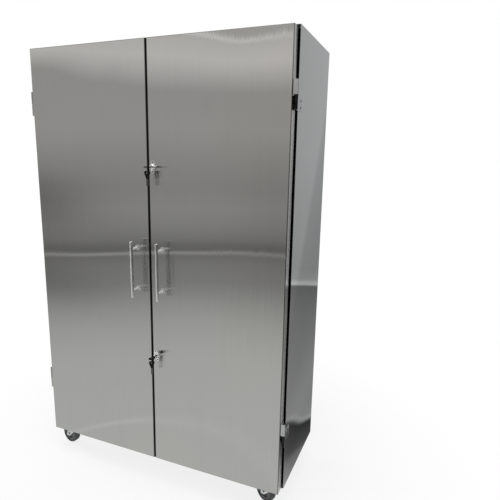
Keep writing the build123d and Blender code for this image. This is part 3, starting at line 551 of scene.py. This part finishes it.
def screw_head(radius, rise, cross, centre, axis):
    """Domed head with a cross recess, as a height over a polar grid.

    With r from 0 at the middle to 1 at the rim, height = rise x (1 - 0.75 r^2). Inside a
    cross whose arms reach r = 0.62 it is 0.15 x rise below the seat, and a last ring at
    the rim drops below the seat too.
    """
    r = np.append(np.linspace(0.0, 1.0, 22), 1.0)[None, :]
    angle = np.linspace(0, 2 * np.pi, STEPS_ROUND_SCREW, endpoint=False)[:, None]
    u = r * np.cos(angle) * radius
    v = r * np.sin(angle) * radius
    arm = np.minimum(np.abs(u), np.abs(v))
    inside = np.clip((cross - arm) / (0.25 * cross) + 0.5, 0, 1)
    inside = inside * np.clip((0.62 - r) / 0.06 + 0.5, 0, 1)
    height = rise * (1.0 - 0.75 * r**2)
    height = height * (1.0 - inside) + (-0.15 * rise) * inside
    height[:, -1] = -0.3 * rise
    axis, side, up = frame_on(axis)
    return (
        np.array(centre, float)
        + u[..., None] * side
        + v[..., None] * up
        + height[..., None] * axis
    )


def screws(name, places, axis, radius, rise, cross, body, material):
    """A set of screw heads on one body, as one piece."""
    heads = np.stack([screw_head(radius, rise, cross, place, axis) for place in places])
    piece = grid_mesh(name, heads, True, False, material)
    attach(piece, body)


HINGE_HEIGHTS = (0.402, 1.707)
BODY_LEAF_SCREWS = (-0.038, -0.014)      # from the middle of the hinge
DOOR_LEAF_SCREWS = (0.014, 0.038)
BODY_LEAF_FACE = 0.602                   # from the middle of the cabinet
DOOR_LEAF_FACE = 0.596
BODY_SCREW_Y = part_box("body_hinge_leaves")[1][1] - 0.017
DOOR_SCREW_Y = -0.205

screw_finish = worn_metal("screw_steel", SCREW_STEEL, 0.25, 1500.0, 0.0003)
for side, sign in (("left", -1), ("right", 1)):
    for owner, body, face, screw_y, steps in (
        ("body", "cabinet", BODY_LEAF_FACE, BODY_SCREW_Y, BODY_LEAF_SCREWS),
        ("door", side + "_door", DOOR_LEAF_FACE, DOOR_SCREW_Y, DOOR_LEAF_SCREWS),
    ):
        screws(
            f"{side}_{owner}_leaf_screws",
            [(MIDDLE_X + sign * face, screw_y, z + step) for z in HINGE_HEIGHTS for step in steps],
            (sign, 0, 0), SCREW_HEAD, SCREW_RISE, SCREW_CROSS, body, screw_finish,
        )


# ---- doors -----------------------------------------------------------------------------
# Each door is a folded pan of satin steel 40 mm thick with a flat sheet behind its lips.
# The thin front is not quite flat: it dishes a little between its folded edges, which bends
# what it reflects. A hollow rubber seal runs round the back and down the meeting edge.
DOOR_STEEL = (0.42, 0.418, 0.412)
DOOR_SATIN = 0.045
SEAL_BLACK = (0.004, 0.004, 0.004)
DOOR_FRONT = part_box("right_door_pan")[0][1]
DOOR_DEPTH = 0.040


def bumps(places):
    """Sum of a x exp(-((x - x0) / wide)^2 - ((z - z0) / tall)^2) over the places."""
    def total(x, y, z):
        whole = None
        for x0, z0, wide, tall, amount in places:
            u = (x - (MIDDLE_X + x0)) / wide
            v = (z - z0) / tall
            bump = (0.0 - (u * u + v * v)).exp() * amount
            whole = bump if whole is None else whole + bump
        return whole
    return total


def door_painted_tone(places):
    """Tone of a door: painted reflection as darker patches, painted shade along the front bends,
    and an edge behind them that is brighter.

    The edge is painted dark at its back as shade, the more so at the top.
    """
    def tone(x, y, z, near):
        behind = (y - DOOR_FRONT).step(0.003, 0.006)
        bend_shade = on_fold(near) * (behind * 0.85 - 0.70)
        rear = (y - DOOR_FRONT - DOOR_DEPTH + z.step(1.72, 1.90) * 0.017).step(-0.001, 0.001)
        return bend_shade - rear * on_fold(near) - bumps(places)(x, y, z)
    return tone


# Each place is x from the middle, z, half width, half height, and how much darker (painted
# reflection) or deeper.
# The darker places on the doors below are painted reflection; the dents after them are relief.
LEFT_PAINTED_REFLECTION = ((-0.62, 1.27, 0.33, 0.15, 0.40), (-0.62, 0.92, 0.33, 0.12, 0.28))
RIGHT_PAINTED_REFLECTION = ((0.60, 1.20, 0.20, 0.35, 0.13),)
RIGHT_DENTS = (
    (0.38, 1.95, 0.16, 0.10, -0.0012),
    (0.30, 0.20, 0.24, 0.12, -0.0012),
    (0.05, 0.12, 0.20, 0.12, 0.0040),
)
LEFT_DENTS = (
    (-0.18, 1.86, 0.16, 0.16, 0.0014),
    (-0.58, 1.92, 0.22, 0.17, 0.0085),
    (-0.66, 1.36, 0.24, 0.42, 0.0050),
)
for side, dents, painted_dark in (
    ("left", LEFT_DENTS, LEFT_PAINTED_REFLECTION),
    ("right", RIGHT_DENTS, RIGHT_PAINTED_REFLECTION),
):
    pan = side + "_door_pan"
    finish = (DOOR_STEEL, DOOR_SATIN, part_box(pan), "XZ", 0.90, door_painted_tone(painted_dark), bumps(dents))
    dress(satin_steel(pan + "_steel", *finish), pan)
    liner = side + "_door_liner"
    dress(satin_steel(liner + "_steel", DOOR_STEEL, 0.12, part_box(liner), "XZ"), liner)

seal_rubber = moulded("seal_rubber", SEAL_BLACK, 0.8, 700.0, dust=0.02, gloss=0.1)
dress(seal_rubber, "left_door_gasket", "right_door_gasket", "meeting_seal")


# ---- bar handles -----------------------------------------------------------------------
# A solid round bar, polished, with its ends eased. Two turned posts, paler and satin, are
# pressed into it and end in a rose against the door, held by a stud from inside.
HANDLE_STEEL = (0.85, 0.85, 0.845)
POST_STEEL = (0.95, 0.95, 0.94)
ROSE_FROM = -0.237         # y where a post widens into its rose


def painted_rose_shade(x, y):
    """Painted shade: a post is darker where it meets the door."""
    return y.step(ROSE_FROM, ROSE_FROM + 0.004) * 0.5


bar_finish = worn_metal("bar_polish", HANDLE_STEEL, 0.08, 1300.0, 0.0012)
# The posts get painted shade where they meet the door.
post_finish = worn_metal("post_satin", POST_STEEL, 0.16, 1300.0, metallic=0.5, painted_shade=painted_rose_shade)
dress(bar_finish, "left_handle_bar", "right_handle_bar")
dress(post_finish, "left_handle_posts", "right_handle_posts")


# ---- cam locks -------------------------------------------------------------------------
# Chromed cam locks go through the right door, each behind a plate with a screw at either
# end. A nut clamps the barrel inside, and the cam turns behind a plate on the left door.
LOCK_CHROME = (0.80, 0.80, 0.80)

lock_finish = worn_metal("lock_chrome", LOCK_CHROME, 0.09, 1000.0, 0.0005)
dress(
    lock_finish,
    "lock_escutcheons", "lock_housings", "upper_lock_cylinder", "lower_lock_cylinder",
)
dress(worn_metal("strike_zinc", ZINC, 0.3, 800.0), "lock_strikes")

LOCK_X = MIDDLE_X + 0.023
PLATE_FACE_Y = -0.2305
PLATE_TURNS = ((1.447, 0.0), (0.641, np.radians(15.0)))     # height of a plate, and its tilt
PLATE_SCREW = 0.0032       # radius of its head
PLATE_SCREW_RISE = 0.0013
PLATE_SCREW_CROSS = 0.00045
PLATE_SCREW_OFFSET = 0.019

plate_screws = []
for height, turn in PLATE_TURNS:
    for shift in (-PLATE_SCREW_OFFSET, PLATE_SCREW_OFFSET):
        across, up = shift * np.sin(turn), shift * np.cos(turn)
        plate_screws.append((LOCK_X - across, PLATE_FACE_Y, height + up))
screws(
    "lock_plate_screws", plate_screws, (0, -1, 0), PLATE_SCREW, PLATE_SCREW_RISE,
    PLATE_SCREW_CROSS, "right_door", screw_finish,
)


# ---- keys ------------------------------------------------------------------------------
# Black nickel key blades with black moulded heads. One key stands in each lock and the
# spare hangs beside it from the same wire ring.
BLACK_NICKEL = (0.10, 0.10, 0.10)
HEAD_BLACK = (0.003, 0.003, 0.003)

dress(
    worn_metal("key_nickel", BLACK_NICKEL, 0.3, 1400.0, 0.0003),
    "upper_key_blade", "lower_key_blade", "upper_spare_blade", "lower_spare_blade",
)
dress(
    moulded("key_plastic", HEAD_BLACK, 0.6, 1600.0, dust=0.01, gloss=0.15),
    "upper_key_head", "lower_key_head", "upper_spare_head", "lower_spare_head",
)


# ---- slide bolts -----------------------------------------------------------------------
# Round bolts with a cross knob hold the left door shut from inside. Each slides in two
# lugs of a zinc-plated bracket and shoots behind the turned-in edge of the front frame.
BOLT_STEEL = (0.56, 0.56, 0.57)

dress(worn_metal("guide_zinc", ZINC, 0.32, 800.0), "bolt_guides")
bolt_finish = worn_metal("bolt_polish", BOLT_STEEL, 0.18, 1100.0)
dress(bolt_finish, "upper_slide_bolt", "lower_slide_bolt")


# ---- studio ----------------------------------------------------------------------------
# A pale floor; a wall that curves up from it and glows with painted bands of light for the
# steel to reflect, hidden from the camera and from diffuse light; soft lamps overhead and at
# the left; and a white surround.
WHITE = (1.0, 1.0, 1.0)
FLOOR_PALE = (0.86, 0.86, 0.86)
FLOOR_HALF = 14.0
SHADE_KEPT = 0.20          # of the floor's shade, close to the cabinet
SHADE_RING = (0.7, 1.7)    # distances between which that fades to none


def seen_directly(surface):
    """1 for camera, glossy and transmission rays, 0 for the rays that carry light."""
    rays = surface.add("LightPath").socket.node.outputs
    camera, glossy, through = [
        Signal(surface, rays[name])
        for name in ("Is Camera Ray", "Is Glossy Ray", "Is Transmission Ray")
    ]
    return camera.most(glossy).most(through)


def floor_finish():
    """Pale floor that shows white; round the cabinet it keeps a fifth of its shade."""
    pale = Surface("floor_pale", roughness=0.9)
    pale.set("Base Color", FLOOR_PALE)
    glow = pale.add("Emission", {}, {"Color": WHITE, "Strength": 1.0})
    lit = Signal(pale, pale.shader.outputs[0])
    x, y, _ = pale.split(pale.place)
    away = (x * x + y * y).power(0.5).step(*SHADE_RING)
    white = seen_directly(pale) * (1.0 - SHADE_KEPT + away * SHADE_KEPT)
    pale.show(pale.add("MixShader", {}, {0: white, 1: lit, 2: glow}))
    return pale.material


COVE_RADIUS = 4.6
COVE_LENGTH = COVE_RADIUS + 4.4        # of the way s out along the floor and up the wall
STEPS_ROUND = 96
STEPS_ALONG = 90


def cove_points():
    """Floor disc and wall round the cabinet: radius min(s, R), height max(s - R, 0)."""
    angle = np.linspace(0, 2 * np.pi, STEPS_ROUND + 1)[:, None]
    s = np.linspace(0.02, COVE_LENGTH, STEPS_ALONG + 1)[None, :]
    radius = np.minimum(s, COVE_RADIUS)
    height = np.maximum(s - COVE_RADIUS, 0.0) + 0.0004
    points = [radius * np.sin(angle), -radius * np.cos(angle), height + 0 * angle]
    return np.stack(points, axis=-1)


WARM = (1.015, 1.0, 0.975)
GREENISH = (0.995, 1.02, 1.0)
COOL = (0.98, 1.0, 1.015)
TINT_REACH = 7.0           # s at which the upper tint is reached
BRIGHTEST = 2.4            # the tones below stay under this
FRONT_TONES = (            # (s, light) of the wall before the doors
    (0.0, 0.88), (0.67, 0.86), (0.69, 0.96), (0.71, 0.96), (0.73, 0.86), (1.6, 0.83),
    (2.2, 0.735), (2.8, 0.61), (3.3, 0.50), (3.7, 0.43), (4.1, 0.41), (4.6, 0.39), (4.755, 0.32),
    (4.775, 0.60), (4.795, 0.60), (4.815, 0.27), (4.88, 0.28), (4.99, 0.38), (5.18, 0.46),
    (5.4, 0.51), (5.72, 0.475), (6.04, 0.525), (6.45, 0.61), (6.96, 0.60), (7.06, 0.70),
    (7.24, 0.88), (7.4, 1.0), (7.62, 0.94), (7.675, 0.84), (7.69, 1.25), (7.705, 1.25), (7.72, 0.70),
)
REAR_TONES = (             # and of the wall behind them
    (0.0, 0.30), (0.70, 0.30), (0.74, 0.12), (0.885, 0.05), (0.90, 0.62), (0.95, 0.44),
    (1.7, 0.36), (2.6, 0.30), (3.68, 0.22), (3.74, 0.75), (3.82, 0.75), (4.0, 0.50),
    (4.6, 0.46), (5.6, 0.52), (6.2, 0.57), (9.0, 0.62),
)
FLAG = (4.0 / 360.0, 92.0 / 360.0)        # parts of a turn between which a dark flag stands
PANEL = (230.0 / 360.0, 292.0 / 360.0)    # and a bright panel
FLAG_DARKER = 0.75
PANEL_BRIGHTER = 2.5
SOFT_START = 0.09          # parts of a turn over which both begin
SOFT_END = 0.04
BOARD_FOOT = (2.8, 3.6)    # s over which both begin
BOARD_TOP = (5.1, 5.7)     # and over which they end


def tone_ramp(cove, tones, low_tint, high_tint, v):
    """Tone by the distance along the wall; its tint changes on the way up."""
    stops = []
    for s, level in tones:
        share = min(s / TINT_REACH, 1.0)
        tint = [a + (b - a) * share for a, b in zip(low_tint, high_tint)]
        stops.append((s / COVE_LENGTH, [level / BRIGHTEST * c for c in tint]))
    return cove.add("ValToRGB", {"stops": stops}, {0: v})


def cove_finish():
    """The wall's light by the distance s along floor and wall, for front and rear.

    A low dark flag stands on the right and a bright panel on the left.
    """
    cove = Surface("cove_tones")
    u, v, _ = cove.split(cove.add("UVMap", {"uv_map": "along"}))
    front = tone_ramp(cove, FRONT_TONES, GREENISH, WARM, v)
    rear = tone_ramp(cove, REAR_TONES, WHITE, COOL, v)
    from_rear = u - 0.5
    facing_front = from_rear.math("ABSOLUTE", from_rear).step(0.20, 0.30)
    flag, panel = [
        u.step(first, first + SOFT_START) * (1.0 - u.step(last - SOFT_END, last))
        for first, last in (FLAG, PANEL)
    ]
    s = v * COVE_LENGTH
    boards = (panel * PANEL_BRIGHTER - flag * FLAG_DARKER) * s.step(*BOARD_FOOT)
    level = 1.0 + boards * (1.0 - s.step(*BOARD_TOP))
    tones = cove.shaded(cove.blend(facing_front, rear, front), level)
    cove.show(cove.add("Emission", {}, {"Color": tones, "Strength": BRIGHTEST}))
    cove.material.cycles.emission_sampling = "NONE"
    return cove.material


edge = np.linspace(-FLOOR_HALF, FLOOR_HALF, 2)
floor_grid = np.stack(np.meshgrid(edge, edge) + [np.zeros((2, 2))], axis=-1)
floor = grid_mesh("studio_floor", floor_grid, False, False, floor_finish())

cove = grid_mesh("studio_cove", cove_points(), False, False, cove_finish())
along = cove.data.uv_layers.new(name="along")
corner_vertex = np.empty(len(cove.data.loops), int)
cove.data.loops.foreach_get("vertex_index", corner_vertex)
rows, columns = np.divmod(corner_vertex, STEPS_ALONG + 1)
places = np.stack([rows / STEPS_ROUND, columns / STEPS_ALONG], axis=1)
along.data.foreach_set("uv", places.ravel())
cove.visible_camera = False
cove.visible_diffuse = False
cove.visible_shadow = False


def soft_lamp(name, place, target, width, height, watts):
    """Oblong soft lamp at a place, aimed at a point."""
    lamp = bpy.data.lights.new(name, "AREA")
    lamp.shape = "RECTANGLE"
    lamp.size = width
    lamp.size_y = height
    lamp.energy = watts
    holder = bpy.data.objects.new(name, lamp)
    bpy.context.scene.collection.objects.link(holder)
    holder.location = place
    aim = Vector(target) - Vector(place)
    holder.rotation_euler = aim.to_track_quat("-Z", "Y").to_euler()


soft_lamp("lamp_overhead", (0.4, -1.2, 4.6), (0.0, 0.0, 0.9), 2.2, 2.2, 70.0)
soft_lamp("lamp_left", (-3.5, 0.3, 1.5), (0.0, -0.2, 1.0), 0.9, 2.6, 30.0)

AMBIENT = 0.72             # of white, for the rays that carry light

world = bpy.data.worlds.new("studio_white")
bpy.context.scene.world = world
world.use_nodes = True
surround = Nodes(world.node_tree)
background = surround.tree.nodes["Background"]
strength = AMBIENT + seen_directly(surround) * (1.0 - AMBIENT)
surround.join(strength, background.inputs["Strength"])
background.inputs["Color"].default_value = (*WHITE, 1.0)

CAMERA_PLACE = Vector((MIDDLE_X + 1.0746, -1.7732, 1.4769))
CAMERA_FORWARD = Vector((-0.3677, 0.90955, -0.19368)).normalized()
CAMERA_UP = Vector((-0.09137, 0.17193, 0.98086))
CAMERA_LENS = 32.298       # mm

camera_data = bpy.data.cameras.new("camera")
camera_data.lens = CAMERA_LENS
camera = bpy.data.objects.new("camera", camera_data)
bpy.context.scene.collection.objects.link(camera)
side = CAMERA_FORWARD.cross(CAMERA_UP).normalized()
up = side.cross(CAMERA_FORWARD)
turn = Matrix((side, up, -CAMERA_FORWARD)).transposed().to_4x4()
camera.matrix_world = Matrix.Translation(CAMERA_PLACE) @ turn
bpy.context.scene.camera = camera
bpy.context.scene.view_settings.view_transform = "Standard"
